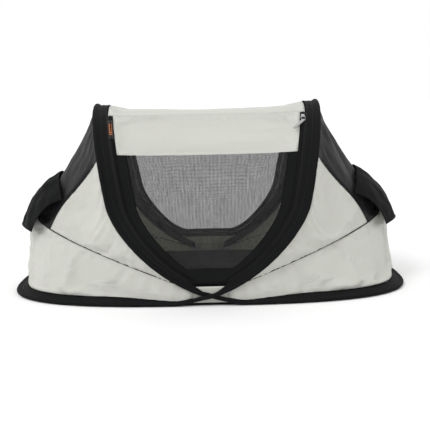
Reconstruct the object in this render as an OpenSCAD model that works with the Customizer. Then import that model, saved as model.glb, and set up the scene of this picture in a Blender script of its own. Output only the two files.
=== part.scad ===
/* [Overall size] */
// Length of the base over the rims
base_length = 1200; // [1000:10:1400]
// Depth of the base over the rims, front to back
base_depth = 684; // [600:4:760]
// Radius of each arch where it is a true half circle
arch_radius = 280; // [250:2:320]
// Height of the middle of that circle above the floor
arch_centre_height = 282; // [260:2:320]
// How far the middle of that circle stands from the middle of the base
arch_centre_out = 285; // [250:1:310]
// Lean of each arch away from the middle, from upright
arch_lean = 10.5; // [6:0.5:14]
// Fullness of the base outline: 2 is an ellipse, more is closer to a rounded rectangle
base_fullness = 2.9; // [2:0.1:3.2]

/* [End walls] */
// Reach of the peak of each lower end panel from the middle
peak_out = 532; // [480:2:540]
// Height of that peak
peak_height = 214; // [190:2:240]
// How far the lower end panel bulges outwards below its peak
panel_bulge = 22; // [0:1:30]
// Share of the arch that the front and back cream panels cover on each side
window_from = 0.315; // [0.26:0.002:0.34]
// The same share, measured along the seam of the lower panel
window_to = 0.366; // [0.35:0.002:0.43]

/* [Hoops and sleeves] */
// Diameter of the spring steel wire
wire_d = 4.6; // [3:0.2:5]
// Middle radius of the sewn channel around the wire
channel_r = 5.2; // [4.8:0.1:6]
// Width of the arch sleeve, from the wire to the zip
sleeve_w = 38; // [24:1:44]
// Width of the sloping sleeve round the base
rim_w = 30; // [20:1:40]
// Rise of that sleeve towards the wall
rim_rise = 13; // [10:1:28]

/* [Cloth, door and mattress] */
// Thickness of the cloth sheets
cloth = 1.6; // [1:0.1:2.4]
// Angle from the top of the arch to the line where the door is sewn on
door_top_angle = 27; // [20:1:35]
// Angle from the top of the arch to the lower edge of the cream band
band_angle = 60; // [48:1:66]
// Width of the black border round the door mesh
border_w = 33; // [16:1:36]
// Height of the mattress
mattress_h = 44; // [20:1:50]
// Half width of each end flap at its lower edge
flap_half_w = 119; // [100:1:124]
// Half width of the flaps at the top
flap_top_half_w = 158; // [130:1:160]

/* [Hidden] */

a = base_length / 2 - 7;
b = base_depth / 2 - 7;
wire_r = wire_d / 2;
rim_z = channel_r + cloth / 2 + 0.4;
cross_z = 26;
end_rise = cross_z - 2 - rim_z;
leg = 0.23;
lean = [sin(arch_lean), 0, cos(arch_lean)];
arch_mid = [arch_centre_out, 0, arch_centre_height];

function lerp(p, q, u) = p + (q - p) * u;
function ease(u) = u <= 0 ? 0 : u >= 1 ? 1 : u * u * (3 - 2 * u);
function unit(v) = v / norm(v);
function flip(points, side) = [for (p = points) [side * p[0], p[1], p[2]]];

// Wire of one base half, from the front crossing (0) round the end (0.5) to the back one (1).
function rounded(x, y, n) = 1 / pow(pow(abs(x), n) + pow(abs(y), n), 1 / n);
function rim(t) = let (x = sin(180 * t), y = -cos(180 * t), k = rounded(x, y, base_fullness))
  [a * k * x, b * k * y, rim_z + end_rise * ease(1 - min(t, 1 - t) / 0.055)];
// Unit vector that points from the rim to the inside, square to the rim.
function inward(t) = let (x = sin(180 * t), y = -cos(180 * t), n = base_fullness - 1)
  -unit([pow(abs(x), n) / a, sign(y) * pow(abs(y), n) / b, 0]);
// How much of the full sleeve width there is: it narrows to a tube at the crossings.
function open_up(t) = ease((min(t, 1 - t) - 0.035) / 0.12);
function foot(t) = rim(t) + inward(t) * lerp(9, rim_w, open_up(t))
  + [0, 0, lerp(3, rim_rise, open_up(t))];

// Lower leg of the arch, a cubic curve from the crossing (0) to the half circle (1).
function bez(p, q, r, s, u) = p * pow(1 - u, 3) + q * 3 * u * pow(1 - u, 2)
  + r * 3 * u * u * (1 - u) + s * pow(u, 3);
function leg_at(u) = bez([0, b - 3, cross_z], [155, b - 6, 69],
  arch_mid + [0, arch_radius + 6, 0] - lean * 75, arch_mid + [0, arch_radius, 0], u);
// Wire of one arch, from the front crossing (0) over the top (0.5) to the back one (1).
function arch(s) = let (m = min(s, 1 - s), side = s <= 0.5 ? -1 : 1)
  m < leg
  ? let (p = leg_at(m / leg)) [p[0], side * p[1], p[2]]
  : let (w = 90 * (m - leg) / (0.5 - leg))
    arch_mid + [0, side * arch_radius * cos(w), 0] + lean * arch_radius * sin(w);
// Place on the arch at an angle from its top, to the front (-) or to the back (+).
function at_angle(w) = 0.5 + (0.5 - leg) * w / 90;
// Seam between the lower end panel and what is above it. It lies in a plane through both crossings.
function seam(t) = let (x = sin(180 * t), y = -cos(180 * t), k = rounded(x, y, 1.85))
  [peak_out * k * x, (b - 12) * k * y, cross_z + (peak_height - cross_z) * k * x];

// Width of the arch sleeve, which narrows towards the crossings.
function band(s) = min(sleeve_w, 9 + 0.36 * max(0, arch(s)[0] - 10));
// Half width that is left for the zip and for the door at one place along the arches.
function zip_x(s) = arch(s)[0] - band(s) - 1.5;
function door_x(s) = zip_x(s) - 8;
function cream_x(s) = door_x(s) - 7.5;
function barrel(s, x) = [x, arch(s)[1], arch(s)[2]];

// Upper end wall: s runs along the arch, v from the arch (0) to the seam (1).
function upper(s, v) = let (p = arch(s), q = seam(s), d = norm(q - p),
    clear = 10.8 + 9 * ease((0.17 - min(s, 1 - s)) / 0.09))
  lerp(p, q, clear / d + v * (1 - (clear + 3) / d)) - [v < 0.5 ? 5 : 8, 0, 0] * sin(360 * v)
    * ease((0.5 - abs(s - 0.5)) / 0.3);
// Lower end wall: t runs round the base, v from the seam (0) to the top of the base sleeve (1).
function lower(t, v) = let (p = seam(t), q = foot(t), d = norm(q - p))
  lerp(p, q, 2 / d + v * (1 - 4.5 / d))
  - inward(t) * panel_bulge * pow(1 - v, 1.2) * ease(v / 0.14) * ease((0.5 - abs(t - 0.5)) / 0.4);

// Closed thin sheet through a grid of points, rows by columns.
function grid_normal(g, i, j) = let (n = len(g), m = len(g[0]))
  unit(cross(g[min(i + 1, n - 1)][j] - g[max(i - 1, 0)][j],
    g[i][min(j + 1, m - 1)] - g[i][max(j - 1, 0)]));
module sheet(g, t = cloth) {
  n = len(g);
  m = len(g[0]);
  k = n * m;
  up = [for (i = [0:n - 1]) for (j = [0:m - 1]) g[i][j] + grid_normal(g, i, j) * t / 2];
  down = [for (i = [0:n - 1]) for (j = [0:m - 1]) g[i][j] - grid_normal(g, i, j) * t / 2];
  tops = [for (i = [0:n - 2]) for (j = [0:m - 2]) for (h = [0, 1])
    h == 0 ? [i * m + j, i * m + j + 1, (i + 1) * m + j + 1]
    : [i * m + j, (i + 1) * m + j + 1, (i + 1) * m + j]];
  edge = concat([for (j = [0:m - 2]) [j, j + 1]],
    [for (i = [0:n - 2]) [i * m + m - 1, (i + 1) * m + m - 1]],
    [for (j = [m - 1:-1:1]) [(n - 1) * m + j, (n - 1) * m + j - 1]],
    [for (i = [n - 1:-1:1]) [i * m, (i - 1) * m]]);
  polyhedron(concat(up, down), concat(
    tops,
    [for (f = tops) [f[0] + k, f[2] + k, f[1] + k]],
    [for (e = edge) for (h = [0, 1])
      h == 0 ? [e[0], e[0] + k, e[1] + k] : [e[0], e[1] + k, e[1]]]), convexity = 8);
}
function mirrored(g, side) = side > 0 ? g : [for (i = [len(g) - 1:-1:0]) flip(g[i], -1)];
module side_sheet(g, side, t = cloth) sheet(mirrored(g, side), t);

// Solid swept through a list of rings that all have the same number of points.
module loft(rings) {
  m = len(rings[0]);
  n = len(rings);
  polyhedron([for (r = rings) each r], concat(
    [[for (j = [m - 1:-1:0]) j]],
    [for (i = [0:n - 2]) for (j = [0:m - 1]) for (h = [0, 1]) let (c = (j + 1) % m)
      h == 0 ? [i * m + j, i * m + c, (i + 1) * m + c]
      : [i * m + j, (i + 1) * m + c, (i + 1) * m + j]],
    [[for (j = [0:m - 1]) (n - 1) * m + j]]), convexity = 10);
}
function ring_at(p, e, f, r, n) = [for (k = [0:n - 1]) p + e * r * cos(360 * k / n) + f * r * sin(360 * k / n)];
function along(path, i) = unit(path[min(i + 1, len(path) - 1)] - path[max(i - 1, 0)]);
// Round wire along a path; ways holds one direction per point that is never parallel to the path.
module wire(path, ways, r, side, n = 8) {
  rings = [for (i = [0:len(path) - 1])
    let (t = along(path, i), f = unit(cross(t, ways[i])), e = cross(f, t)) ring_at(path[i], e, f, r, n)];
  if (side > 0) loft(rings);
  else mirror([1, 0, 0]) loft(rings);
}
// Cloth sleeve: a strip that is turned round the wire and sewn back onto itself.
module sleeve(path, ways, widths, side) {
  rings = [for (i = [0:len(path) - 1])
    let (t = along(path, i), n = unit(cross(t, ways[i])), e = cross(n, t), p = path[i],
      ro = channel_r + cloth / 2, ri = channel_r - cloth / 2, w = ways[i] * widths[i], h = cloth / 2)
    concat([p + w + n * h, p + e * (ro + 0.2) + n * h],
      [for (k = [1:8]) p + (e * cos(40 * k) + n * sin(40 * k)) * ro],
      [for (k = [8:-1:1]) p + (e * cos(40 * k) + n * sin(40 * k)) * ri],
      [p + e * ri + n * 0.1, p + e * ri - n * h, p + w - n * h])];
  if (side > 0) loft(rings);
  else mirror([1, 0, 0]) loft(rings);
}

// Stations along the base and along the arch, clear of the crossings.
rim_steps = 26;
rim_t = [for (i = [0:rim_steps]) lerp(0.012, 0.988, i / rim_steps)];
rim_path = [for (t = rim_t) rim(t)];
rim_ways = [for (t = rim_t) unit(foot(t) - rim(t))];
rim_widths = [for (t = rim_t) norm(foot(t) - rim(t)) - 1.5];
arch_steps = 36;
arch_s = [for (i = [0:arch_steps]) lerp(0.014, 0.986, i / arch_steps)];
arch_path = [for (s = arch_s) arch(s)];
arch_ways = [for (s = arch_s) [-1, 0, 0]];
arch_widths = [for (s = arch_s) band(s)];

module base_wire(side) color("silver") wire(rim_path, rim_ways, wire_r, side);
module left_base_wire() base_wire(-1);
module right_base_wire() base_wire(1);
module arch_wire(side) color("silver") wire(arch_path, arch_ways, wire_r, side);
module left_arch_wire() arch_wire(-1);
module right_arch_wire() arch_wire(1);

// Crimped tube that joins the two ends of a wire, hidden in the back of the base sleeve.
module ferrule(side) {
  path = [for (i = [0:4]) rim(0.89 + 0.006 * i)];
  ways = [for (i = [0:4]) inward(0.89 + 0.006 * i)];
  color("gray") wire(path, ways, wire_r + 1.3, side, 10);
}
module left_wire_ferrule() ferrule(-1);
module right_wire_ferrule() ferrule(1);

module base_sleeve(side) color([0.14, 0.15, 0.15]) sleeve(rim_path, rim_ways, rim_widths, side);
module left_base_sleeve() base_sleeve(-1);
module right_base_sleeve() base_sleeve(1);
module arch_sleeve(side) color([0.14, 0.15, 0.15]) sleeve(arch_path, arch_ways, arch_widths, side);
module left_arch_sleeve() arch_sleeve(-1);
module right_arch_sleeve() arch_sleeve(1);

// Cream panel between the arch and the seam, beside the window, at the front or the back.
function upper_edge(v) = lerp(window_from, window_to, v);
function upper_panel(back) = [for (i = [0:12]) [for (j = [0:4])
  let (v = j / 4, s = lerp(0.078, upper_edge(v) - 0.0025, i / 12)) upper(back ? 1 - s : s, v)]];
module front_panel(side) color([0.84, 0.84, 0.80]) side_sheet(upper_panel(false), side);
module left_front_panel() front_panel(-1);
module right_front_panel() front_panel(1);
module rear_panel(side) color([0.84, 0.84, 0.80]) side_sheet(upper_panel(true), side);
module left_rear_panel() rear_panel(-1);
module right_rear_panel() rear_panel(1);

// Mesh window in the middle of the end.
function window_grid() = [for (i = [0:12]) [for (j = [0:5])
  let (v = j / 5, e = upper_edge(v)) upper(lerp(e, 1 - e, i / 12), v)]];
module window(side) color([0.25, 0.25, 0.25]) side_sheet(window_grid(), side);
module left_window() window(-1);
module right_window() window(1);

// Cream panel round the bottom of the end.
function lower_grid() = [for (i = [0:22]) [for (j = [0:6])
  lower(lerp(0.028, 0.972, i / 22), [0, 0.07, 0.16, 0.35, 0.6, 0.8, 1][j])]];
module lower_panel(side) color([0.84, 0.84, 0.80]) side_sheet(lower_grid(), side);
module left_lower_panel() lower_panel(-1);
module right_lower_panel() lower_panel(1);

// Sheet on the barrel between the arches, from s0 to s1, between two widths.
function strip(s0, s1, n) = [for (i = [0:n]) let (s = lerp(s0, s1, i / n))
  [for (j = [0:1]) barrel(s, zip_x(s) - 7 * j)]];
module zip_tape(side) color([0.1, 0.1, 0.1]) side_sheet(strip(0.05, at_angle(-door_top_angle) - 0.002, 18), side);
module left_zip_tape() zip_tape(-1);
module right_zip_tape() zip_tape(1);

function full(s0, s1, n, m) = [for (i = [0:n]) let (s = lerp(s0, s1, i / n))
  [for (j = [0:m]) barrel(s, cream_x(s) * (2 * j / m - 1))]];
door_s = at_angle(-door_top_angle);
band_s = at_angle(-band_angle);
mesh_low = 0.08;
door_low = 0.042;
function roof_x(s) = arch(s)[0] - band(s) - 2.8;
function roof_grid(s0, s1, n) = [for (i = [0:n]) let (s = lerp(s0, s1, i / n))
  [for (j = [0:4]) barrel(s, roof_x(s) * (j / 2 - 1))]];
module roof() color([0.84, 0.84, 0.80]) sheet(roof_grid(door_s + 0.002, 1 - band_s - 0.001, 14));
module rear_mesh() color([0.25, 0.25, 0.25]) sheet(roof_grid(1 - band_s + 0.001, 1 - mesh_low - 0.001, 16));
module rear_gusset() color([0.84, 0.84, 0.80]) sheet(roof_grid(1 - mesh_low + 0.001, 1 - door_low, 4));

// The door: a cream band along the top, mesh below it, and a black border round the mesh.
module door_band() color([0.84, 0.84, 0.80]) sheet(full(band_s + 0.001, door_s - 0.002, 7, 4));
function mesh_x(s) = door_x(s) - border_w - 1;
module door_mesh() color([0.25, 0.25, 0.25]) sheet([for (i = [0:12])
  let (s = lerp(mesh_low + 0.001, band_s - 0.001, i / 12)) [for (j = [0:4]) barrel(s, mesh_x(s) * (j / 2 - 1))]]);
side_s = concat([for (i = [0:5]) lerp(door_s - 0.002, band_s + 0.001, i / 5)],
  [for (i = [0:10]) lerp(band_s - 0.001, mesh_low, i / 10)]);
function border_x(i) = i < 6 ? cream_x(side_s[i]) + 1 : mesh_x(side_s[i]) + 1;
border_inner = concat([for (i = [0:16]) [side_s[i], border_x(i)]],
  [for (j = [0:2]) [mesh_low, (mesh_x(mesh_low) + 1) * (0.5 - j / 2)]],
  [for (i = [16:-1:0]) [side_s[i], -border_x(i)]]);
border_outer = concat([for (s = side_s) [s, door_x(s)]],
  [[door_low, door_x(door_low)], [door_low, 0], [door_low, -door_x(door_low)]],
  [for (i = [16:-1:0]) [side_s[i], -door_x(side_s[i])]]);
module door_border() color([0.14, 0.15, 0.15]) sheet([for (i = [0:len(border_inner) - 1]) [for (j = [0:2])
  let (c = lerp(border_outer[i], border_inner[i], j / 2)) barrel(c[0], c[1])]]);

// Flap that hangs over the end window from the middle of its top edge, like a hood: u runs down
// its middle line (0 to 1) and w across it (-1 to 1). The middle line is a curve through three points.
flap_line = [[465, 357], [548, 302], [586, 197]];
flap_side = [[-26, -71], [-51, -12]];
function flap_mid(u) = flap_line[0] * pow(1 - u, 2) + flap_line[1] * 2 * u * (1 - u) + flap_line[2] * u * u;
function flap_point(u, w) = let (p = flap_mid(u) + lerp(flap_side[0], flap_side[1], u) * w * w)
  [p[0], lerp(flap_top_half_w, flap_half_w, u) * w, p[1]];
module flap(side) color([0.14, 0.15, 0.15]) side_sheet(
  [for (i = [0:8]) [for (j = [0:6]) flap_point(i / 8, 1 - j / 3)]], side, 2.2);
module left_flap() flap(-1);
module right_flap() flap(1);

// Zip slider, its link and its pull tab, on the right arch.
slider_angle = 33;
slider_s = at_angle(-slider_angle);
slider_at = barrel(slider_s, zip_x(slider_s) - 7.5);
module on_slider() translate(slider_at) rotate([slider_angle, 0, 0]) children();
module zip_slider() color("silver") on_slider() translate([0, 0, 3.6]) difference() {
  linear_extrude(4, center = true) offset(r = 2.4) square([5.2, 9.2], center = true);
  translate([0, -3.2, 0]) rotate([0, 90, 0]) cylinder(h = 12, r = 1.15, center = true, $fn = 32);
}
module bar(p, q, r) translate(p) rotate([0, acos((q - p)[2] / norm(q - p)), atan2((q - p)[1], (q - p)[0])])
  cylinder(h = norm(q - p), r = r, $fn = 24);
module zip_link() color("silver") on_slider() translate([0, -3.2, 3.6]) {
  bar([-6.4, 0, 0], [6.4, 0, 0], 0.9);
  bar([-6.4, 0.9, 0], [-4.4, -17, 0], 0.9);
  bar([6.4, 0.9, 0], [4.4, -17, 0], 0.9);
  bar([-4.9, -16.6, 0], [4.9, -16.6, 0], 0.9);
}
module zip_tab() color("silver") on_slider() translate([0, -19.8, 3.6]) rotate([0, 0, -38])
  translate([0, 1.4, 0]) difference() {
    linear_extrude(2, center = true) offset(r = 3) translate([-1.5, -50, 0]) square([3, 48]);
    translate([0, -47, 0]) cylinder(h = 4, r = 1.6, center = true, $fn = 32);
  }

label_s0 = at_angle(-49);
label_s1 = at_angle(-33.5);
module label() color("black") side_sheet([for (i = [0:4]) let (s = lerp(label_s0, label_s1, i / 4))
  [for (j = [0:1]) barrel(s, zip_x(s) + 1 - 14 * j) + 2.4 * unit([0, arch(s)[1], arch(s)[2] - arch_centre_height])]],
  -1, 0.9);

// Skirt that closes the wall between the crossing and the door or the rear gusset.
module skirt(side) color([0.84, 0.84, 0.80]) sheet([for (i = [0:2]) [for (j = [0:4])
  [23 * (j - 2), side * (b - 13), 8 + 21 * (side < 0 ? i : 2 - i)]]]);
module front_skirt() skirt(-1);
module rear_skirt() skirt(1);

// Flat outline of the base, drawn in by a distance from the wire.
module outline(inset, n) offset(delta = -inset) polygon([for (k = [0:n - 1])
  let (x = cos(360 * k / n), y = sin(360 * k / n), c = rounded(x, y, base_fullness)) [a * c * x, b * c * y]]);
module floor_sheet() color([0.14, 0.15, 0.15]) linear_extrude(1.6) outline(9, 72);
module mattress() color([0.1, 0.1, 0.1]) translate([0, 0, 2.2])
  linear_extrude(mattress_h) outline(52, 64);

// Sewn loop that holds the two hoops where they cross.
module crossing(side) color([0.14, 0.15, 0.15]) translate([0, side * (b - 1), cross_z])
  rotate([90, 0, 0]) cylinder(h = 16, r = 10.5, center = true, $fn = 32);
module front_crossing() crossing(-1);
module rear_crossing() crossing(1);

left_base_wire();
right_base_wire();
left_arch_wire();
right_arch_wire();
left_wire_ferrule();
right_wire_ferrule();
left_base_sleeve();
right_base_sleeve();
left_arch_sleeve();
right_arch_sleeve();
left_front_panel();
right_front_panel();
left_rear_panel();
right_rear_panel();
left_lower_panel();
right_lower_panel();
left_window();
right_window();
left_zip_tape();
right_zip_tape();
left_flap();
right_flap();
roof();
rear_mesh();
rear_gusset();
door_band();
door_mesh();
door_border();
zip_slider();
zip_link();
zip_tab();
label();
floor_sheet();
mattress();
front_crossing();
rear_crossing();
front_skirt();
rear_skirt();
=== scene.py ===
import math
import bpy
import numpy as np
from mathutils import Matrix, Vector, noise


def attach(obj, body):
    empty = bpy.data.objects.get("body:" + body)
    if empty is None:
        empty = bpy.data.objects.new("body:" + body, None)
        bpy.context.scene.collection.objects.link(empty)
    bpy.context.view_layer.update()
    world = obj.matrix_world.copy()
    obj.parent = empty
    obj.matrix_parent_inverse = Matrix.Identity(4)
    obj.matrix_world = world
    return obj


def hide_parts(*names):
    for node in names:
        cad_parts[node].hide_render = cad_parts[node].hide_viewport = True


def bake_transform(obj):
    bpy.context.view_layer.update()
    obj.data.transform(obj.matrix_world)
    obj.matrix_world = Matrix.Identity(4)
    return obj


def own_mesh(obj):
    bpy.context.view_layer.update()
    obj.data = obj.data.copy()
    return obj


# A pop-up travel cot tent. Everything is in metres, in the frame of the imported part:
# +X to the right-hand end, -Y towards the door, +Z up. "s" runs along an arch and "t" round the
# base or the seam, each from the front crossing (0) over the middle (0.5) to the back one (1).
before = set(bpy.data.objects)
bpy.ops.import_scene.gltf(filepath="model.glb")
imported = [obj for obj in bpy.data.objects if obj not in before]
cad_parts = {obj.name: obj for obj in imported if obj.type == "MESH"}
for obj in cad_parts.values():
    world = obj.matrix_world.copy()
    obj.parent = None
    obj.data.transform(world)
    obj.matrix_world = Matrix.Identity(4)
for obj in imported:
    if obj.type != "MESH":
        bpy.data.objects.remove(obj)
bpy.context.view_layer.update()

# ---- Driving dimensions, the same as the part's ----
HALF_LENGTH, HALF_DEPTH, FULLNESS = 0.593, 0.335, 2.9
RADIUS, LEAN, LEG = 0.280, math.radians(10.5), 0.23
MID = np.array([0.285, 0.0, 0.282])
PEAK_OUT, PEAK_Z, SEAM_FULLNESS = 0.532, 0.214, 1.85
CROSS_Z, RIM_Z, CHANNEL = 0.026, 0.0064, 0.0052
SLEEVE_W, RIM_W, RIM_RISE, BULGE = 0.038, 0.030, 0.013, 0.022
PANEL_TOP_GAP, PANEL_FOOT_GAP = 0.0045, 0.0025   # from the hoop's line to the edge of the cream cloth
WINDOW_FROM, WINDOW_TO = 0.315, 0.366
BORDER_W = 0.033
DOOR_TOP, BAND_LOW = math.radians(27), math.radians(60)
MESH_LOW, DOOR_LOW = 0.08, 0.042
UP = np.array([math.sin(LEAN), 0, math.cos(LEAN)])
SIDES = {"left": -1, "right": 1}


# ---- Curves of the frame ----
def clamp(u, low=0.0, high=1.0):
    return min(max(u, low), high)


def ease(u):
    u = clamp(u)
    return u * u * (3 - 2 * u)


def lerp(p, q, u):
    return p + (q - p) * u


def unit(v):
    return v / np.linalg.norm(v)


def rounded(x, y, n):
    return 1 / (abs(x) ** n + abs(y) ** n) ** (1 / n)


def rim(t):
    x, y = math.sin(math.pi * t), -math.cos(math.pi * t)
    k = rounded(x, y, FULLNESS)
    rise = (CROSS_Z - 0.002 - RIM_Z) * ease(1 - min(t, 1 - t) / 0.055)
    return np.array([HALF_LENGTH * k * x, HALF_DEPTH * k * y, RIM_Z + rise])


def inward(t):
    x, y, n = math.sin(math.pi * t), -math.cos(math.pi * t), FULLNESS - 1
    return -unit(np.array([abs(x) ** n / HALF_LENGTH, math.copysign(abs(y) ** n, y) / HALF_DEPTH, 0]))


def open_up(t):
    return ease((min(t, 1 - t) - 0.035) / 0.12)


def foot(t):
    o = open_up(t)
    return rim(t) + inward(t) * lerp(0.009, RIM_W, o) + np.array([0, 0, lerp(0.003, RIM_RISE, o)])


def arch(s):
    m, side = min(s, 1 - s), -1 if s <= 0.5 else 1
    if m < LEG:
        u = m / LEG
        p = np.array([0, HALF_DEPTH - 0.003, CROSS_Z])
        q = np.array([0.155, HALF_DEPTH - 0.006, 0.069])
        r = MID + np.array([0, RADIUS + 0.006, 0]) - UP * 0.075
        e = MID + np.array([0, RADIUS, 0])
        c = p * (1 - u) ** 3 + q * 3 * u * (1 - u) ** 2 + r * 3 * u * u * (1 - u) + e * u ** 3
        return np.array([c[0], side * c[1], c[2]])
    w = math.pi / 2 * (m - LEG) / (0.5 - LEG)
    return MID + np.array([0, side * RADIUS * math.cos(w), 0]) + UP * RADIUS * math.sin(w)


def at_angle(w):
    return 0.5 + (0.5 - LEG) * w / (math.pi / 2)


def seam(t):
    x, y = math.sin(math.pi * t), -math.cos(math.pi * t)
    k = rounded(x, y, SEAM_FULLNESS)
    return np.array([PEAK_OUT * k * x, (HALF_DEPTH - 0.012) * k * y, CROSS_Z + (PEAK_Z - CROSS_Z) * k * x])


def band(s):
    return min(SLEEVE_W, 0.009 + 0.36 * max(0, arch(s)[0] - 0.010))


def zip_x(s):
    return arch(s)[0] - band(s) - 0.0015


def door_x(s):
    return zip_x(s) - 0.008


def cream_x(s):
    return door_x(s) - 0.0075


def mesh_x(s):
    return door_x(s) - BORDER_W - 0.001


def roof_x(s):
    return arch(s)[0] - band(s) - 0.0028


def outward(p, below=0.05):
    """The way out of the tent at a point of the cloth between the arches, seen from below its middle."""
    return unit(np.array([0, p[1], p[2] - MID[2] + below]))


def barrel(s, x, sag=0.0):
    """A point of the cloth stretched between the two arches, drawn in a little between them."""
    a = arch(s)
    return np.array([x, a[1], a[2]]) - outward(a) * sag * (1 - (x / a[0]) ** 2)


def upper(s, v):
    p, q = arch(s), seam(s)
    d = np.linalg.norm(q - p)
    pull = (0.005 if v < 0.5 else 0.008) * math.sin(math.tau * clamp(v)) * ease((0.5 - abs(s - 0.5)) / 0.3)
    return lerp(p, q, lerp(PANEL_TOP_GAP / d, 1, v)) - np.array([pull, 0, 0])


def lower(t, v):
    p, q = seam(t), foot(t)
    d = np.linalg.norm(q - p)
    fat = BULGE * (1 - v) ** 1.2 * ease(v / 0.14) * ease((0.5 - abs(t - 0.5)) / 0.4)
    return lerp(p, q, v * (1 - PANEL_FOOT_GAP / d)) - inward(t) * fat


# ---- Mesh helpers ----
def grid_of(point, n, m):
    return np.array([[point(i / n, j / m) for j in range(m + 1)] for i in range(n + 1)])


def mirrored(grid, side):
    return grid if side > 0 else grid[::-1] * np.array([-1, 1, 1])


def normals(grid):
    n = np.cross(np.gradient(grid, axis=0), np.gradient(grid, axis=1))
    return n / np.maximum(np.linalg.norm(n, axis=2, keepdims=True), 1e-12)


def arc(grid):
    """Distances along the cloth, in metres, which carry the weave."""
    u = np.zeros(grid.shape[:2])
    v = np.zeros(grid.shape[:2])
    u[1:] = np.cumsum(np.linalg.norm(np.diff(grid, axis=0), axis=2), axis=0)
    v[:, 1:] = np.cumsum(np.linalg.norm(np.diff(grid, axis=1), axis=2), axis=1)
    u -= u[u.shape[0] // 2]
    v -= v[:, v.shape[1] // 2][:, None]
    return np.dstack([u, v, np.zeros_like(u)])


def area_of(grid):
    a = np.linalg.norm(np.cross(grid[1:, :-1] - grid[:-1, :-1], grid[:-1, 1:] - grid[:-1, :-1]), axis=2)
    b = np.linalg.norm(np.cross(grid[1:, 1:] - grid[1:, :-1], grid[1:, 1:] - grid[:-1, 1:]), axis=2)
    return float((a.sum() + b.sum()) / 2)


def build(name, points, faces, material, weave=None, smooth=True):
    mesh = bpy.data.meshes.new(name)
    mesh.from_pydata([tuple(p) for p in points], [], faces)
    mesh.validate()
    mesh.shade_smooth() if smooth else mesh.shade_flat()
    if weave is not None:
        layer = mesh.attributes.new("weave", "FLOAT_VECTOR", "POINT")
        layer.data.foreach_set("vector", np.asarray(weave, np.float32).ravel())
    mesh.materials.append(material)
    obj = bpy.data.objects.new(name, mesh)
    bpy.context.scene.collection.objects.link(obj)
    return obj


def grid_faces(n, m, start=0, turned=False):
    faces = [(start + i * m + j, start + (i + 1) * m + j, start + (i + 1) * m + j + 1, start + i * m + j + 1)
             for i in range(n - 1) for j in range(m - 1)]
    return [f[::-1] for f in faces] if turned else faces


def cloth(name, grid, material, thickness=0.0009):
    """A sheet of cloth through a grid of points: one layer if thickness is 0, or else a closed one."""
    n, m = grid.shape[:2]
    weave = arc(grid).reshape(-1, 3)
    if thickness == 0:
        return build(name, grid.reshape(-1, 3), grid_faces(n, m), material, weave)
    off = normals(grid) * thickness / 2
    points = np.concatenate([(grid + off).reshape(-1, 3), (grid - off).reshape(-1, 3)])
    k = n * m
    edge = (list(range(m)) + [i * m + m - 1 for i in range(1, n)]
            + [(n - 1) * m + j for j in range(m - 2, -1, -1)] + [i * m for i in range(n - 2, 0, -1)])
    sides = [(a, b, b + k, a + k) for a, b in zip(edge, edge[1:] + edge[:1])]
    faces = grid_faces(n, m) + grid_faces(n, m, k, True) + sides
    return build(name, points, faces, material, np.concatenate([weave, weave]))


def declare(flat_grid):
    """Works out the size and area of the flat cut that the grid unrolls to; nothing is done with them."""
    u = np.linalg.norm(np.diff(flat_grid, axis=0), axis=2).sum(0).max()
    v = np.linalg.norm(np.diff(flat_grid, axis=1), axis=2).sum(1).max()
    area = area_of(flat_grid)
    if area < 0.32 * u * v:  # a narrow strip of uneven width: its length and its mean width
        u, v = (u, max(area / u, 0.0102)) if u > v else (max(area / v, 0.0102), v)
    area = min(area, 0.99 * u * v)


def ripple(grid, height, scale, seed, stretch=(1, 1, 1), edge=0.12):
    """Moves the cloth along its normals by smooth noise, and less towards its sewn edges."""
    n, m = grid.shape[:2]
    out = normals(grid)
    moved = grid.copy()
    for i in range(n):
        for j in range(m):
            hold = ease(min(i / (n - 1), 1 - i / (n - 1), j / (m - 1), 1 - j / (m - 1)) / edge)
            p = Vector(grid[i, j] * np.array(stretch)) * scale + Vector((seed * 7.3, seed * 3.1, seed))
            moved[i, j] += out[i, j] * height * hold * noise.fractal(p, 0.9, 2.1, 3)
    return moved


def simulated(points, faces, held, frames, cap, gravity, **settings):
    """Runs Blender's Cloth on a copy of the mesh and gives the points back. The held points stay where
    they are, and no other one moves further than cap."""
    scene = bpy.context.scene
    mesh = bpy.data.meshes.new("settling")
    mesh.from_pydata([tuple(p) for p in points], [], faces)
    obj = bpy.data.objects.new("settling", mesh)
    scene.collection.objects.link(obj)
    obj.vertex_groups.new(name="held").add(sorted(held), 1.0, "REPLACE")
    modifier = obj.modifiers.new("Cloth", "CLOTH")
    c = modifier.settings
    c.quality, c.air_damping, c.vertex_group_mass = 6, 3.0, "held"
    for key, value in settings.items():
        setattr(c, key, value)
    c.effector_weights.gravity = gravity
    modifier.collision_settings.use_collision = False
    modifier.point_cache.frame_start, modifier.point_cache.frame_end = 1, frames
    for f in range(1, frames + 1):
        scene.frame_set(f)
    ready = obj.evaluated_get(bpy.context.evaluated_depsgraph_get())
    step = np.array([v.co for v in ready.data.vertices], float) - points
    bpy.data.objects.remove(obj)
    scene.frame_set(1)
    size = np.linalg.norm(step, axis=1, keepdims=True)
    return points + step * np.minimum(1, cap / np.maximum(size, 1e-9))


def settle(grid, slack, pressure, gravity, cap):
    """The sheet is cut a little too large, held at its sewn edges and let fall."""
    n, m = grid.shape[:2]
    held = [i * m + j for i in range(n) for j in range(m) if i in (0, n - 1) or j in (0, m - 1)]
    return simulated(grid.reshape(-1, 3), grid_faces(n, m), held, 22, cap, gravity, mass=0.15,
                     tension_stiffness=12.0, compression_stiffness=12.0, shear_stiffness=7.2,
                     bending_stiffness=0.15, shrink_min=-slack, use_pressure=pressure != 0,
                     uniform_pressure_force=pressure).reshape(n, m, 3)


def tube_frame(path, way, i):
    t = unit(path[min(i + 1, len(path) - 1)] - path[max(i - 1, 0)])
    n = unit(np.cross(t, way))
    return t, n, np.cross(n, t)


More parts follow.
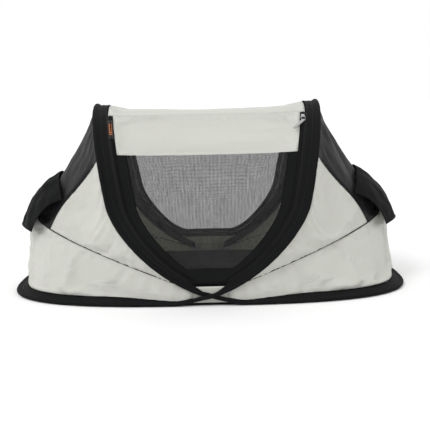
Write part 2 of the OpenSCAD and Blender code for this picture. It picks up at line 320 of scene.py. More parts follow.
def sweep(name, rings, material, weave):
    """A skin through rings that all have the same number of points, closed at both ends."""
    n, m = len(rings), len(rings[0])
    faces = [(i * m + j, i * m + (j + 1) % m, (i + 1) * m + (j + 1) % m, (i + 1) * m + j)
             for i in range(n - 1) for j in range(m)]
    faces += [tuple(range(m - 1, -1, -1)), tuple((n - 1) * m + j for j in range(m))]
    return build(name, [p for r in rings for p in r], faces, material, weave)


def pucker(d, seed):
    """Small gathers of a sewn channel at a distance d along it."""
    return noise.noise(Vector((d * 55, seed, 0.3))) + 0.6 * noise.noise(Vector((d * 140, seed, 4.1)))


def sleeve(name, path, ways, widths, side, material, seed):
    """The cloth turned round a hoop and sewn back onto itself, with a flat tail as wide as it is given."""
    rows, swell, radius, h = (0.2, 0.55, 0.9), 0.0005, CHANNEL + 0.0008, 0.0007
    rings, weave, d = [], [], 0.0
    turn = [math.radians(a) for a in range(24, 341, 24)]
    for i, p in enumerate(path):
        d += np.linalg.norm(p - path[i - 1]) if i else 0
        t, n, e = tube_frame(path, ways[i], i)
        w, k = widths[i], pucker(d, seed)
        wave = [0.0011 * k * r * (1 - 0.45 * r) for r in rows]
        across = [radius + (w - radius) * r for r in rows]
        r_out = radius + swell * (k + 0.4)
        ring = [p + ways[i] * w + n * (h + wave[-1] * 0.6)]
        ring += [p + ways[i] * a + n * (h + b) for a, b in zip(across[::-1], wave[::-1])]
        ring += [p + (e * math.cos(a) + n * math.sin(a)) * (r_out if 1 < q < len(turn) - 2 else radius)
                 for q, a in enumerate(turn)]
        ring += [p + ways[i] * a - n * (h - b) for a, b in zip(across, wave)]
        ring += [p + ways[i] * w - n * (h - wave[-1] * 0.6)]
        rings.append(np.array(ring) * (side, 1, 1))
        m = len(ring)
        weave += [(d, 0.045 * j / m, 0) for j in range(m)]
    if side < 0:
        rings = rings[::-1]
        weave = [w for i in range(len(rings) - 1, -1, -1) for w in weave[i * m:(i + 1) * m]]
    return sweep(name, rings, material, weave)


def stitches(name, lines, material, pitch=0.0065, length=0.0042, r=0.00042):
    """Sewing thread: each line is a list of (point, normal) and gets one short stitch per pitch."""
    points, faces = [], []
    for line in lines:
        p = np.array([q[0] for q in line])
        n = np.array([q[1] for q in line])
        d = np.concatenate([[0], np.cumsum(np.linalg.norm(np.diff(p, axis=0), axis=1))])
        for k in range(int(d[-1] / pitch)):
            ends = []
            for a in (k * pitch + 0.001, k * pitch + 0.001 + length):
                ends.append(np.array([np.interp(a, d, p[:, c]) for c in range(3)]))
            out = unit(np.array([np.interp(k * pitch, d, n[:, c]) for c in range(3)]))
            t = unit(ends[1] - ends[0])
            b = np.cross(t, out)
            base = len(points)
            for end, grow in ((ends[0], 0.5), (lerp(ends[0], ends[1], 0.5), 1.0), (ends[1], 0.5)):
                points += [end + out * r * grow * 1.2 + b * r * grow,
                           end + out * r * grow * 1.2 - b * r * grow,
                           end - out * r * 0.6 - b * r * grow,
                           end - out * r * 0.6 + b * r * grow]
            faces += [(base + i + j, base + i + (j + 1) % 4, base + i + 4 + (j + 1) % 4, base + i + 4 + j)
                      for i in (0, 4) for j in range(4)]
            faces += [(base + 3, base + 2, base + 1, base), (base + 8, base + 9, base + 10, base + 11)]
    return build(name, points, faces, material, smooth=False)


# ---- Materials ----
def material(name, color, roughness, sheen=0.0, specular=0.3, metallic=0.0):
    m = bpy.data.materials.new(name)
    m.use_nodes = True
    shader = m.node_tree.nodes["Principled BSDF"]
    shader.inputs["Base Color"].default_value = (*color, 1)
    shader.inputs["Roughness"].default_value = roughness
    shader.inputs["Metallic"].default_value = metallic
    shader.inputs["Specular IOR Level"].default_value = specular
    shader.inputs["Sheen Weight"].default_value = sheen
    shader.inputs["Sheen Roughness"].default_value = 0.5
    return m, shader


class Nodes:
    """Short names for the few node kinds that the materials use."""

    def __init__(self, m):
        self.tree = m.node_tree

    def add(self, kind, **settings):
        node = self.tree.nodes.new(kind)
        for key, value in settings.items():
            setattr(node, key, value)
        return node

    def put(self, value, socket):
        if hasattr(value, "node"):
            self.tree.links.new(value, socket)
        else:
            socket.default_value = value

    def math(self, operation, a, b=0.0, c=0.0):
        node = self.add("ShaderNodeMath", operation=operation)
        for value, socket in zip((a, b, c), node.inputs):
            self.put(value, socket)
        return node.outputs[0]

    def weave(self):
        source = self.add("ShaderNodeAttribute", attribute_name="weave")
        split = self.add("ShaderNodeSeparateXYZ")
        self.put(source.outputs["Vector"], split.inputs[0])
        return split.outputs[0], split.outputs[1]

    def noise(self, scale, detail=3.0, rough=0.55, stretch=None):
        coords = self.add("ShaderNodeTexCoord").outputs["Object"]
        if stretch:
            mapping = self.add("ShaderNodeMapping")
            mapping.inputs["Scale"].default_value = stretch
            self.put(coords, mapping.inputs[0])
            coords = mapping.outputs[0]
        node = self.add("ShaderNodeTexNoise")
        self.put(coords, node.inputs["Vector"])
        node.inputs["Scale"].default_value = scale
        node.inputs["Detail"].default_value = detail
        node.inputs["Roughness"].default_value = rough
        return node.outputs[0]

    def ramp(self, value, stops):
        node = self.add("ShaderNodeValToRGB")
        self.put(value, node.inputs[0])
        first, last = node.color_ramp.elements[0], node.color_ramp.elements[1]
        first.position, first.color = stops[0][0], (*stops[0][1], 1)
        last.position, last.color = stops[-1][0], (*stops[-1][1], 1)
        for position, color in stops[1:-1]:
            node.color_ramp.elements.new(position).color = (*color, 1)
        return node.outputs[0]

    def bump(self, height, distance, strength=1.0, under=None):
        node = self.add("ShaderNodeBump")
        node.inputs["Strength"].default_value = strength
        node.inputs["Distance"].default_value = distance
        self.put(height, node.inputs["Height"])
        if under is not None:
            self.put(under, node.inputs["Normal"])
        return node.outputs[0]


def woven(name, color, pitch, roughness=0.8, sheen=0.25, vary=0.06, crease=0.0012, specular=0.25, glow=0.0):
    """Plain-weave cloth: over-and-under threads, small creases, and uneven colour and gloss.
    glow is how much light the thin cloth lets through."""
    m, shader = material(name, color, roughness, sheen, specular)
    shader.inputs["Subsurface Weight"].default_value = glow
    shader.inputs["Subsurface Radius"].default_value = (1, 1, 0.9)
    shader.inputs["Subsurface Scale"].default_value = 0.003
    g = Nodes(m)
    u, v = g.weave()
    turns = math.tau / pitch / 2
    warp = g.math("SINE", g.math("MULTIPLY", u, turns))
    weft = g.math("SINE", g.math("MULTIPLY", v, turns))
    threads = g.math("MULTIPLY", warp, weft)
    blotch = g.noise(7.0, 4.0)
    fine = g.noise(230.0, 2.0)
    tone = g.math("ADD", g.math("MULTIPLY", blotch, 0.6), g.math("MULTIPLY", fine, 0.4))
    tone = g.math("MULTIPLY_ADD", threads, 0.06, tone)
    dark = tuple(c * (1 - vary) for c in color)
    light = tuple(min(1, c * (1 + vary)) for c in color)
    g.put(g.ramp(tone, [(0.3, dark), (0.7, light)]), shader.inputs["Base Color"])
    g.put(g.math("MULTIPLY_ADD", blotch, 0.16, roughness - 0.08), shader.inputs["Roughness"])
    soft = g.bump(g.noise(26.0, 3.0, 0.6), crease, 0.7)
    g.put(g.bump(threads, 0.00012, 0.5, soft), shader.inputs["Normal"])
    return m


def net(name, color, pitch, thread, hole=0.14, solid=0.5, pleat=0.0, roughness=0.6, sheen=0.02):
    """Knitted mosquito mesh: crossing threads with open holes between them. hole is the cover that is
    left in a hole, solid what a thread adds, and pleat how much the cover varies in soft folds."""
    m, shader = material(name, color, roughness, sheen, 0.3)
    g = Nodes(m)
    u, v = g.weave()
    drift = g.math("MULTIPLY_ADD", g.noise(9.0, 2.0), pitch * 0.7, -pitch * 0.35)
    lines = []
    for value in (u, v):
        bent = g.math("ADD", value, drift)
        phase = g.math("PINGPONG", g.math("DIVIDE", bent, pitch), 0.5)
        edge = g.add("ShaderNodeMapRange", interpolation_type="SMOOTHSTEP")
        for value_in, socket in zip((phase, thread / pitch / 2 * 0.6, thread / pitch / 2 * 1.5, 1.0, 0.0),
                                    edge.inputs[:5]):
            g.put(value_in, socket)
        lines.append(edge.outputs[0])
    threads = g.math("MAXIMUM", lines[0], lines[1])
    slub = g.noise(160.0, 2.0, 0.5, (1, 1, 0.16))
    cover = g.math("MULTIPLY_ADD", threads, solid, g.math("MULTIPLY_ADD", slub, 0.3, hole - 0.15))
    if pleat:
        folds = g.math("MULTIPLY_ADD", g.noise(11.0, 3.0, 0.6, (1, 2.2, 0.5)), pleat * 3, -pleat * 1.6)
        cover = g.math("ADD", cover, folds)
    cover_node = g.add("ShaderNodeClamp")
    g.put(cover, cover_node.inputs[0])
    cover_node.inputs["Min"].default_value = 0.05
    g.put(cover_node.outputs[0], shader.inputs["Alpha"])
    tone = g.math("MULTIPLY_ADD", threads, 0.3, g.math("MULTIPLY", g.noise(12.0), 0.7))
    dark, light = tuple(c * 0.7 for c in color), tuple(min(1, c * 1.6) for c in color)
    g.put(g.ramp(tone, [(0.25, dark), (0.8, light)]), shader.inputs["Base Color"])
    g.put(g.bump(threads, 0.0003, 0.6), shader.inputs["Normal"])
    return m


def metal(name, color, roughness, brushed=0.0):
    m, shader = material(name, color, roughness, 0.0, 0.5, 1.0)
    g = Nodes(m)
    scratch = g.noise(90.0, 4.0, 0.6, (1, 1, 6) if brushed else None)
    dark, light = tuple(c * 0.8 for c in color), tuple(min(1, c * 1.1) for c in color)
    g.put(g.ramp(scratch, [(0.3, dark), (0.7, light)]), shader.inputs["Base Color"])
    g.put(g.math("MULTIPLY_ADD", scratch, 0.25, roughness - 0.1), shader.inputs["Roughness"])
    g.put(g.bump(scratch, 0.0001, 0.4), shader.inputs["Normal"])
    return m


CREAM = woven("cream_cloth", (0.535, 0.538, 0.492), 0.0011, 0.82, 0.08, 0.03, 0.0022, 0.18, 0.35)
BLACK = woven("black_cloth", (0.0055, 0.0058, 0.006), 0.0012, 0.75, 0.01, 0.3, 0.0014, 0.09)
HEM = woven("hem_binding", (0.005, 0.0052, 0.0054), 0.0016, 0.75, 0.01, 0.3, 0.0006, 0.12)
TAPE = woven("zip_tape", (0.004, 0.004, 0.0044), 0.0014, 0.62, 0.01, 0.3, 0.0004, 0.16)
PAD = woven("mattress_cover", (0.006, 0.0062, 0.0068), 0.0013, 0.85, 0.02, 0.3, 0.0022, 0.12)
FLOOR = woven("floor_cloth", (0.007, 0.007, 0.0076), 0.0013, 0.6, 0.02, 0.2, 0.002, 0.25)
NET = net("black_mesh", (0.016, 0.016, 0.0165), 0.0023, 0.0008, 0.25, 0.5)
END_NET = net("black_mesh_double", (0.007, 0.007, 0.0074), 0.0019, 0.0009, 1.0, 0.36, 0.36)
THREAD_DARK = woven("black_thread", (0.014, 0.014, 0.015), 0.0005, 0.6, 0.1, 0.2, 0.0001)
STEEL = metal("spring_steel", (0.45, 0.46, 0.47), 0.35, 1.0)
CRIMP = metal("ferrule_metal", (0.55, 0.55, 0.56), 0.4)
SILVER = metal("zip_metal", (0.5, 0.5, 0.495), 0.38)


def finish_piece(obj, nodes=(), body=None, bend=None, squash=None):
    """Hides the CAD nodes that the piece stands for. With bend its place is baked into its mesh, or else it
    is hung on the body it moves with; with squash it gets a mesh of its own.
    """
    if nodes:
        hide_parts(*nodes)
    if bend:
        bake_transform(obj)
    else:
        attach(obj, body)
    if squash:
        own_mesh(obj)


# ---- Hoops: the sewn sleeves of the base and of the arches ----
for name, side in SIDES.items():
    half = f"{name}_half"
    ts = np.linspace(0.012, 0.988, 190)
    path = [rim(t) for t in ts]
    ways = [unit(foot(t) - rim(t)) for t in ts]
    widths = [np.linalg.norm(foot(t) - rim(t)) - 0.0015 for t in ts]
    cover = sleeve(f"{name}_base_cover", path, ways, widths, side, BLACK, 3 + side)
    finish_piece(cover, [f"{name}_base_sleeve"], half)

    ss = np.linspace(0.014, 0.986, 210)
    path = [arch(s) for s in ss]
    ways = [np.array([-1.0, 0, 0]) for s in ss]
    cover = sleeve(f"{name}_arch_cover", path, ways, [band(s) for s in ss], side, BLACK, 8 + side)
    finish_piece(cover, [f"{name}_arch_sleeve"], half)

    rows = []
    for depth in (0.36, 0.86):
        for low, high, count, curve in ((0.06, 0.94, 150, "rim"), (0.05, 0.95, 150, "arch")):
            line = []
            for k in range(count):
                s = lerp(low, high, k / (count - 1))
                if curve == "rim":
                    p, w = rim(s), unit(foot(s) - rim(s))
                    reach = np.linalg.norm(foot(s) - rim(s)) - 0.0015
                    t = unit(rim(s + 0.004) - rim(s - 0.004))
                else:
                    p, w, reach = arch(s), np.array([-1.0, 0, 0]), band(s)
                    t = unit(arch(s + 0.004) - arch(s - 0.004))
                n = unit(np.cross(t, w))
                a = CHANNEL + 0.0012 + (reach - CHANNEL) * depth
                line.append(((p + w * a + n * 0.0012) * (side, 1, 1), n * (side, 1, 1)))
            rows.append(line)
    thread = stitches(f"{name}_sleeve_stitches", rows, THREAD_DARK)
    finish_piece(thread, (), half)

# ---- End walls ----
def edge_share(v):
    return lerp(WINDOW_FROM, WINDOW_TO, v)


def upper_point(back):
    def point(i, j):
        s = lerp(0.056, edge_share(j) - 0.0015, i)
        return upper(1 - s if back else s, j)
    return point


def lower_point(i, j):
    return lower(lerp(0.028, 0.972, i), j)


def window_point(i, j):
    e = edge_share(j)
    return upper(lerp(e, 1 - e, i), j)


def ribbon(line, width, lift):
    """A narrow strip of cloth sewn over a line, which gives a point, the way across and the normal."""
    return np.array([[p + w * width * (k / 4 - 0.5) + n * lift for k in range(5)] for p, w, n in line])


for name, side in SIDES.items():
    half = f"{name}_half"
    for part, back in (("front", False), ("rear", True)):
        flat = grid_of(upper_point(back), 64, 34)
        shaped = settle(flat, 0.034, -0.06, 0.6, cap=0.018)
        shaped = ripple(shaped, 0.0075, 7.0, 5 + side + back, (1.3, 0.7, 1.9))
        if back:
            flat, shaped = flat[::-1], shaped[::-1]
        panel = cloth(f"{name}_{part}_cloth", mirrored(shaped, side), CREAM)
        finish_piece(panel, [f"{name}_{part}_panel"], half)
        declare(flat)

    flat = grid_of(lower_point, 130, 30)
    shaped = settle(flat, 0.03, -0.3, 0.15, cap=0.010)
    shaped = ripple(shaped, 0.0085, 6.5, 11 + side, (1.1, 1.1, 0.9))
    panel = cloth(f"{name}_lower_cloth", mirrored(shaped, side), CREAM)
    finish_piece(panel, [f"{name}_lower_panel"], half)
    declare(flat)

    flat = grid_of(window_point, 70, 44)
    shaped = settle(flat, 0.02, -0.05, 0.2, cap=0.007)
    shaped = ripple(shaped, 0.009, 9.0, 17 + side, (0.8, 2.0, 0.5))
    window = cloth(f"{name}_window_net", mirrored(shaped, side), END_NET, 0)
    finish_piece(window, [f"{name}_window"], half)
    declare(flat)

    # Black binding along the two cream edges of the window, and along the seam below it.
    lines = []
    for s_side in (0, 1):
        line = []
        for k in range(30):
            v = k / 29
            e = edge_share(v)
            p = upper(1 - e if s_side else e, v)
            q = upper(1 - e - 0.01 if s_side else e + 0.01, v)
            down = upper(1 - e if s_side else e, v + 0.01)
            w = unit(q - p)
            n = unit(np.cross(unit(down - p), w)) * (-1 if s_side else 1)
            line.append((p + w * 0.006, w, -n))
        lines.append(line)
    for part, line in zip(("front", "rear"), lines):
        strip = ribbon(line, 0.016, 0.0016)
        if part == "front":
            strip = strip[::-1]
        hem = cloth(f"{name}_window_hem_{part}", mirrored(strip, side), HEM, 0.0012)
        finish_piece(hem, (), half)
        declare(strip)

    # Black piping along the seam between the lower wall and what is above it. It is painted shade: a dark
    # line put where the seam casts its shadow.
    ts = np.linspace(0.03, 0.97, 130)
    rings, weave = [], []
    points = [lower(t, 0) - inward(t) * 0.0009 for t in ts]
    for i, p in enumerate(points):
        t, n, e = tube_frame(points, np.array([0, 0, 1.0]), i)
        r = 0.0014 + 0.0001 * pucker(i * 0.012, 2.2)
        rings.append([(p + n * r * math.cos(a) + e * r * math.sin(a)) * (side, 1, 1)
                      for a in np.linspace(0, math.tau, 9)[:8]])
        weave += [(i * 0.012, 0.002 * k, 0) for k in range(8)]
    # painted shade: the seam's shadow is drawn as this thin black tube
    shade_strip = sweep(f"{name}_seam_shade_strip", rings if side > 0 else rings[::-1], HEM, weave)
    finish_piece(shade_strip, (), half)


# ---- The flaps that hang over the end windows ----
FLAP_LINE = np.array([[0.465, 0.357], [0.548, 0.302], [0.586, 0.197]])
FLAP_SIDE = np.array([[-0.026, -0.071], [-0.051, -0.012]])
FLAP_HALF, FLAP_TOP_HALF, FLAP_TUCK = 0.119, 0.158, 0.007


def flap_point(u, j):
    w = 1 - 2 * j
    middle = FLAP_LINE[0] * (1 - u) ** 2 + FLAP_LINE[1] * 2 * u * (1 - u) + FLAP_LINE[2] * u * u
    x, z = middle + lerp(FLAP_SIDE[0], FLAP_SIDE[1], u) * w * w
    x -= FLAP_TUCK * (1 - ease(u / 0.25))
    return np.array([x, lerp(FLAP_TOP_HALF, FLAP_HALF, u) * w, z])


for name, side in SIDES.items():
    flat = grid_of(flap_point, 36, 44)
    shaped = ripple(flat, 0.009, 12.0, 23 + side, (1, 1.6, 0.5), edge=0.05)
    flap = cloth(f"{name}_flap_cloth", mirrored(shaped, side), BLACK, 0.0016)
    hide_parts(f"{name}_flap")
    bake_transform(flap)
    declare(flat)

# ---- Roof and rear wall ----
door_s, band_s = at_angle(-DOOR_TOP), at_angle(-BAND_LOW)
SAG = 0.007
WIDE_BEND = 0.3   # passed as bend, where it only means that the piece's place is baked into its mesh


def across(width, s0, s1, n, m):
    """Cloth from arch to arch between s0 and s1; it sags, but not where the door is sewn to the roof."""
    def point(i, j):
        s = lerp(s0, s1, i)
        return barrel(s, width(s) * (2 * j - 1), SAG * ease(abs(s - door_s) / 0.03))
    return grid_of(point, n, m)


flat = across(roof_x, door_s - 0.0004, 1 - band_s - 0.0005, 40, 60)
shaped = ripple(settle(flat, 0.016, 0.05, 0.3, cap=0.010), 0.005, 6.0, 31, (0.5, 1.2, 1.5))
roof = cloth("roof_cloth", shaped, CREAM)
finish_piece(roof, ["roof"], bend=WIDE_BEND)
declare(flat)

rear_top, rear_low = 1 - band_s + 0.0008, 1 - MESH_LOW


def corner_half(s):
    """Half width of the rear mesh window: as wide as the wall, with rounded lower corners."""
    k = clamp((rear_low - s) / 0.03)
    return (roof_x(s) - 0.003) * (0.78 + 0.22 * math.sqrt(1 - (1 - k) ** 2))


flat = across(corner_half, rear_top, rear_low, 60, 50)
shaped = settle(flat, 0.01, 0.05, 0.3, cap=0.010)
rear = cloth("rear_net", ripple(shaped, 0.0025, 7.0, 37), NET, 0)
finish_piece(rear, ["rear_mesh"], bend=WIDE_BEND)
declare(flat)

outline = ([(s, -corner_half(s)) for s in np.linspace(rear_top, rear_low, 50)]
           + [(rear_low, corner_half(rear_low) * x) for x in np.linspace(-0.9, 0.9, 19)]
           + [(s, corner_half(s)) for s in np.linspace(rear_low, rear_top, 50)])
outer = ([(s, -roof_x(s) - 0.005) for s in np.linspace(rear_top, 1 - DOOR_LOW, 50)]
         + [(1 - DOOR_LOW + 0.005, roof_x(1 - DOOR_LOW) * x) for x in np.linspace(-0.9, 0.9, 19)]
         + [(s, roof_x(s) + 0.005) for s in np.linspace(1 - DOOR_LOW, rear_top, 50)])


def between(inner, outside, k0, k1, m):
    """A border of m points across, between two outlines that are lists of (s, x)."""
    return np.array([[barrel(lerp(a[0], b[0], k), lerp(a[1], b[1], k), SAG) for k in np.linspace(k0, k1, m)]
                     for a, b in zip(inner, outside)])


flat = between(outline, outer, 0.0, 1.0, 9)
surround = cloth("rear_surround", ripple(flat, 0.002, 9.0, 41, edge=0.3), CREAM)
finish_piece(surround, ["rear_gusset"], bend=WIDE_BEND)
declare(flat)


def ways_in(line):
    """The points of an outline on the barrel, with the unit direction into it at each."""
    points = np.array([barrel(s, x) for s, x in line])
    last = len(line) - 1
    return points, [np.cross(unit(points[min(i + 1, last)] - points[max(i - 1, 0)]), outward(p))
                    for i, p in enumerate(points)]


rows = []
for (s, x), p, w in zip(outline, *ways_in(outline)):
    rows.append([barrel(s, x, SAG) + w * (k * 0.007 - 0.014) + outward(p) * 0.0012 for k in range(5)])
hem = cloth("rear_hem", np.array(rows), HEM, 0.0012)
finish_piece(hem, (), bend=WIDE_BEND)
declare(np.array(rows))

# ---- Door: cream band, mesh and black border; it hangs from the line where it is sewn to the roof ----
FOLD_FLAT = (0.906, 0, 0.423)
flat = across(cream_x, band_s + 0.0004, door_s, 26, 70)
shaped = ripple(settle(flat, 0.02, 0.06, 0.5, cap=0.010), 0.0055, 6.0, 43, (0.35, 1.6, 2.6))
shaped = ripple(shaped, 0.0032, 16.0, 44, (0.12, 1.5, 2.2))
door_band = cloth("door_band_cloth", shaped, CREAM)
finish_piece(door_band, ["door_band"], "door", squash=FOLD_FLAT)
declare(flat)

flat = across(mesh_x, MESH_LOW + 0.0008, band_s - 0.0008, 50, 60)
shaped = ripple(settle(flat, 0.012, 0.05, 0.3, cap=0.010), 0.0028, 7.0, 47)
door_net = cloth("door_net", shaped, NET, 0)
finish_piece(door_net, ["door_mesh"], "door", squash=FOLD_FLAT)
declare(flat)


def border_rows():
    rows = []
    for s in np.linspace(door_s - 0.0015, band_s + 0.0008, 16):
        rows.append((s, cream_x(s) + 0.001, door_x(s)))
    for s in np.linspace(band_s - 0.0006, MESH_LOW, 44):
        rows.append((s, mesh_x(s) + 0.001, door_x(s)))
    return rows


sides_in = [(s, x) for s, x, _ in border_rows()]
sides_out = [(s, x) for s, _, x in border_rows()]
bottom = np.linspace(0.85, -0.85, 13)
inner = (sides_in + [(MESH_LOW, (mesh_x(MESH_LOW) + 0.001) * x) for x in bottom]
         + [(s, -x) for s, x in sides_in[::-1]])
outside = (sides_out + [(DOOR_LOW, door_x(DOOR_LOW) * x) for x in bottom]
           + [(s, -x) for s, x in sides_out[::-1]])
flat = between(inner, outside, 1.0, 0.0, 7)
border = cloth("door_border_cloth", ripple(flat, 0.0012, 16.0, 53, edge=0.3), BLACK, 0.0012)
finish_piece(border, ["door_border"], "door", squash=FOLD_FLAT)
declare(flat)

# ---- Zip tapes with their coils, on both arches ----
for name, side in SIDES.items():
    ss = np.linspace(0.05, door_s - 0.002, 120)
    flat = []
    for s in ss:
        out = outward(arch(s), 0.04)
        flat.append([barrel(s, zip_x(s) + lerp(0.004, -0.0105, j / 5))
                     + out * (0.0012 - 0.0002 * abs(j - 2.5)) for j in range(6)])
    flat = np.array(flat)
    tape = cloth(f"{name}_zip_cloth", mirrored(flat, side), TAPE, 0.0009)
    finish_piece(tape, [f"{name}_zip_tape"], f"{name}_half")
    declare(flat)
    line = []
    for s in ss:
        p = barrel(s, zip_x(s) - 0.0068)
        n = outward(p, 0.04)
        line.append((p * (side, 1, 1) + n * 0.0022, n))
    teeth = stitches(f"{name}_zip_teeth", [line], TAPE, 0.0024, 0.0015, 0.0016)
    finish_piece(teeth, (), f"{name}_half")

# ---- Label, floor and mattress ----
s0, s1 = at_angle(-math.radians(49)), at_angle(-math.radians(33.5))
rows = []
for i in range(17):
    s = lerp(s0, s1, i / 16)
    out = outward(arch(s), 0)
    rows.append([barrel(s, zip_x(s) + 0.001 - 0.014 * j / 8) + out * (0.0024 + 0.0006 * math.sin(i * 0.5))
                 for j in range(9)])
rows = mirrored(np.array(rows), -1)


def striped_label():
    """Black woven ground with plain orange stripes along it."""
    m, shader = material("label_woven", (0.02, 0.02, 0.02), 0.7, 0.1)
    g = Nodes(m)
    u, v = g.weave()
    length = g.math("PINGPONG", u, 0.0045)
    stripe = g.math("MULTIPLY", g.math("LESS_THAN", g.math("ABSOLUTE", v), 0.0036),
                    g.math("MULTIPLY", g.math("GREATER_THAN", length, 0.0014),
                           g.math("LESS_THAN", g.math("ABSOLUTE", u), 0.023)))
    tone = g.math("MULTIPLY_ADD", g.noise(300.0), 0.2, g.math("MULTIPLY", stripe, 0.8))
    g.put(g.ramp(tone, [(0.1, (0.015, 0.015, 0.015)), (0.3, (0.03, 0.028, 0.026)), (0.9, (0.75, 0.2, 0.03))]),
          shader.inputs["Base Color"])
    g.put(g.bump(g.math("SINE", g.math("MULTIPLY", u, 7000.0)), 0.0001, 0.5), shader.inputs["Normal"])
    return m


label = cloth("label_tag", rows, striped_label(), 0.0008)
finish_piece(label, ["label"], "left_half")
declare(rows)


def base_point(angle, share, inset):
    x, y = math.cos(angle), math.sin(angle)
    k = rounded(x, y, FULLNESS)
    edge = np.array([HALF_LENGTH * k * x, HALF_DEPTH * k * y, 0])
    out = unit(np.array([abs(x) ** (FULLNESS - 1) * math.copysign(1, x) / HALF_LENGTH,
                         abs(y) ** (FULLNESS - 1) * math.copysign(1, y) / HALF_DEPTH, 0]))
    return (edge - out * inset) * share


def discs(profile, inset, count=160):
    """A closed pad over the base outline: profile lists (share of the outline, height) from the middle
    of the top to the middle of the bottom."""
    points, faces = [np.array([0, 0, profile[0][1]])], []
    for share, z in profile[1:-1]:
        points += [base_point(math.tau * k / count, share, inset) + np.array([0, 0, z]) for k in range(count)]
    points.append(np.array([0, 0, profile[-1][1]]))
    last, rings = len(points) - 1, len(profile) - 2
    for k in range(count):
        c = (k + 1) % count
        faces.append((0, 1 + k, 1 + c))
        faces += [(1 + r * count + k, 1 + (r + 1) * count + k, 1 + (r + 1) * count + c, 1 + r * count + c)
                  for r in range(rings - 1)]
        faces.append((last, 1 + (rings - 1) * count + c, 1 + (rings - 1) * count + k))
    return np.array(points), faces


points, faces = discs([(0, 0.0018)] + [(r, 0.0018) for r in np.linspace(0.08, 0.97, 16)]
                      + [(0.995, 0.0017), (1.0, 0.0010), (0.995, 0.0003), (0.5, 0.0003), (0, 0.0003)], 0.009)
for p in points:
    if p[2] > 0.0012:
        p[2] += 0.0007 * noise.fractal(Vector(p * np.array([9, 9, 0])), 0.9, 2.0, 3)
floor_cloth = build("floor_cloth", points, faces, FLOOR, points)
finish_piece(floor_cloth, ["floor_sheet"], bend=0.25)

# The mattress: three soft sections with two sewn fold lines, swollen by a short simulation.
FOLD_LINES, PAD_INSET, PAD_TOP = (-0.2, 0.2), 0.056, 0.036


def puffed(points, faces):
    """The pad's cover under pressure, held at its fold lines, its rim and its underside."""
    held = [i for i, p in enumerate(points)
            if p[2] < 0.006 or (p[2] > 0.03 and min(abs(p[0] - x) for x in FOLD_LINES) < 0.007)]
    return simulated(points, faces, held, 20, 0.009, 0, mass=0.3, tension_stiffness=10.0,
                     compression_stiffness=10.0, shear_stiffness=5.0, bending_stiffness=0.5,
                     shrink_min=-0.02, use_pressure=True, uniform_pressure_force=4.0)


points, faces = discs([(0, PAD_TOP)] + [(r, PAD_TOP) for r in np.linspace(0.03, 0.95, 34)]
                      + [(0.975, 0.0345), (0.993, 0.029), (1.0, 0.020), (0.993, 0.011), (0.98, 0.006),
                         (0.9, 0.0035), (0.5, 0.0035), (0, 0.0035)], PAD_INSET, 240)
points = puffed(points, faces)
for p in points:
    if p[2] > 0.025:
        p[2] += 0.0012 * noise.fractal(Vector(p * np.array([6, 6, 0])), 0.9, 2.0, 3)
        for x in FOLD_LINES:
            p[2] -= 0.008 * math.exp(-((p[0] - x) / 0.007) ** 2)
mattress = build("mattress_pad", points, faces, PAD, points)
finish_piece(mattress, ["mattress"], bend=0.22)

# ---- Skirts that close the walls behind the two crossings ----
for name, outwards, high in (("front", -1, 0.046), ("rear", 1, 0.054)):
    flat = np.array([[[0.104 * (j / 24 - 0.5), outwards * (HALF_DEPTH - 0.013), 0.006 + high * i / 8]
                      for j in range(25)] for i in range(9)])
    flat = flat if outwards < 0 else flat[::-1]
    skirt = cloth(f"{name}_skirt_cloth", ripple(flat, 0.002, 22.0, 61 + outwards, edge=0.2), CREAM)
    finish_piece(skirt, [f"{name}_skirt"], bend=0.05)
    declare(flat)

# ---- The two crossings: one ring passes in front of the other ----
def hermite(p, q, tp, tq, u):
    return (p * (2 * u ** 3 - 3 * u ** 2 + 1) + tp * (u ** 3 - 2 * u ** 2 + u)
            + q * (3 * u ** 2 - 2 * u ** 3) + tq * (u ** 3 - u ** 2))


for name, outwards in (("front", -1), ("rear", 1)):
    def near(v):
        return v if outwards < 0 else 1 - v

    points, faces, weave = [], [], []
    for base_side, depth in ((-1, 0.0058), (1, -0.0058)):
        flip = np.array([base_side, 1, 1])
        p, q = rim(near(0.017)) * flip, arch(near(0.020)) * flip * (-1, 1, 1)
        tp = unit((rim(near(0.012)) - rim(near(0.022))) * flip) * 0.06
        tq = unit((arch(near(0.026)) - arch(near(0.016))) * flip * (-1, 1, 1)) * 0.06
        path = []
        for k in range(29):
            u = k / 28
            bell = math.sin(math.pi * clamp((u - 0.08) / 0.84)) ** 2
            path.append(hermite(p, q, tp, tq, u) + np.array([0, outwards * depth * bell, 0]))
        start = len(points)
        for i, c in enumerate(path):
            t, n, e = tube_frame(path, np.array([0, 0, 1.0]), i)
            r = 0.0064 + 0.0004 * pucker(i * 0.003, 5 + base_side)
            points += [c + (n * math.cos(a) + e * math.sin(a)) * r
                       for a in np.linspace(0, math.tau, 17)[:16]]
            weave += [(i * 0.003, 0.0025 * k, 0) for k in range(16)]
        faces += [(start + i * 16 + j, start + i * 16 + (j + 1) % 16, start + (i + 1) * 16 + (j + 1) % 16,
                   start + (i + 1) * 16 + j) for i in range(28) for j in range(16)]
        faces += [tuple(start + j for j in range(15, -1, -1)),
                  tuple(start + 28 * 16 + j for j in range(16))]
    tubes = build(f"{name}_crossing_tubes", points, faces, BLACK, weave)
    finish_piece(tubes, [f"{name}_crossing"], bend=0.02)

# ---- CAD nodes that are shown as they are ----
for node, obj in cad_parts.items():
    finish = (STEEL if node.endswith("_wire") else CRIMP if node.endswith("ferrule")
              else SILVER if node.startswith("zip_") else None)
    if finish:
        obj.data.materials.clear()
        obj.data.materials.append(finish)

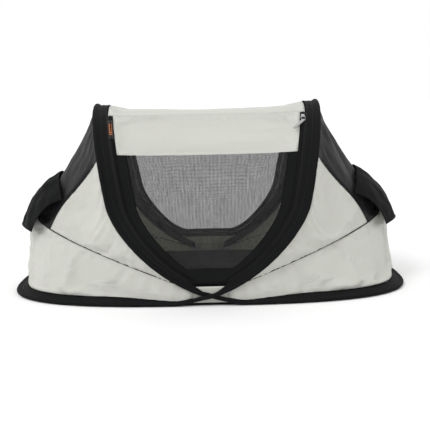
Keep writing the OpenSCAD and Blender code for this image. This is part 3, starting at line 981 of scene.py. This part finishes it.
# ---- Studio ----
scene = bpy.context.scene
scene.view_settings.view_transform = "Standard"
ground, shader = material("studio_floor", (0.93, 0.93, 0.93), 0.95, specular=0.0)
g = Nodes(ground)
g.put(g.ramp(g.noise(3.0), [(0.2, (0.92, 0.92, 0.92)), (0.8, (0.94, 0.94, 0.94))]),
      shader.inputs["Base Color"])
ring = [(40 * math.cos(a), 40 * math.sin(a), -0.0008) for a in np.linspace(0, math.tau, 65)[:64]]
floor = build("studio_floor", ring, [tuple(range(64))], ground, smooth=False)

world = bpy.data.worlds.new("studio")
world.use_nodes = True
world.node_tree.nodes["Background"].inputs["Color"].default_value = (1, 1, 1, 1)
world.node_tree.nodes["Background"].inputs["Strength"].default_value = 1.0
scene.world = world


def lamp(name, place, softness, power):
    light = bpy.data.lights.new(name, "SUN")
    light.angle, light.energy = math.radians(softness), power
    obj = bpy.data.objects.new(name, light)
    obj.location = place
    obj.rotation_euler = (-Vector(place)).to_track_quat("-Z", "Y").to_euler()
    scene.collection.objects.link(obj)


lamp("key", (-2.4, -2.2, 3.4), 25, 0.9)

# ---- Camera ----
AZIMUTH, DISTANCE, HEIGHT = math.radians(0.0), 2.598, 0.583
PITCH, ROLL, LENS, SHIFT = math.radians(8.22), math.radians(-1.26), 69.7, 0.0147
eye = Vector((math.sin(AZIMUTH) * DISTANCE, -math.cos(AZIMUTH) * DISTANCE, HEIGHT))
ahead = Vector((-math.sin(AZIMUTH) * math.cos(PITCH), math.cos(AZIMUTH) * math.cos(PITCH), -math.sin(PITCH)))
right = Vector((math.cos(AZIMUTH), math.sin(AZIMUTH), 0))
above = right.cross(ahead)
side_axis = right * math.cos(ROLL) + above * math.sin(ROLL)
up_axis = above * math.cos(ROLL) - right * math.sin(ROLL)
view = bpy.data.cameras.new("camera")
view.lens, view.sensor_width, view.shift_x = LENS, 36, SHIFT
camera = bpy.data.objects.new("camera", view)
camera.matrix_world = Matrix.Translation(eye) @ Matrix((side_axis, up_axis, -ahead)).transposed().to_4x4()
scene.collection.objects.link(camera)
scene.camera = camera
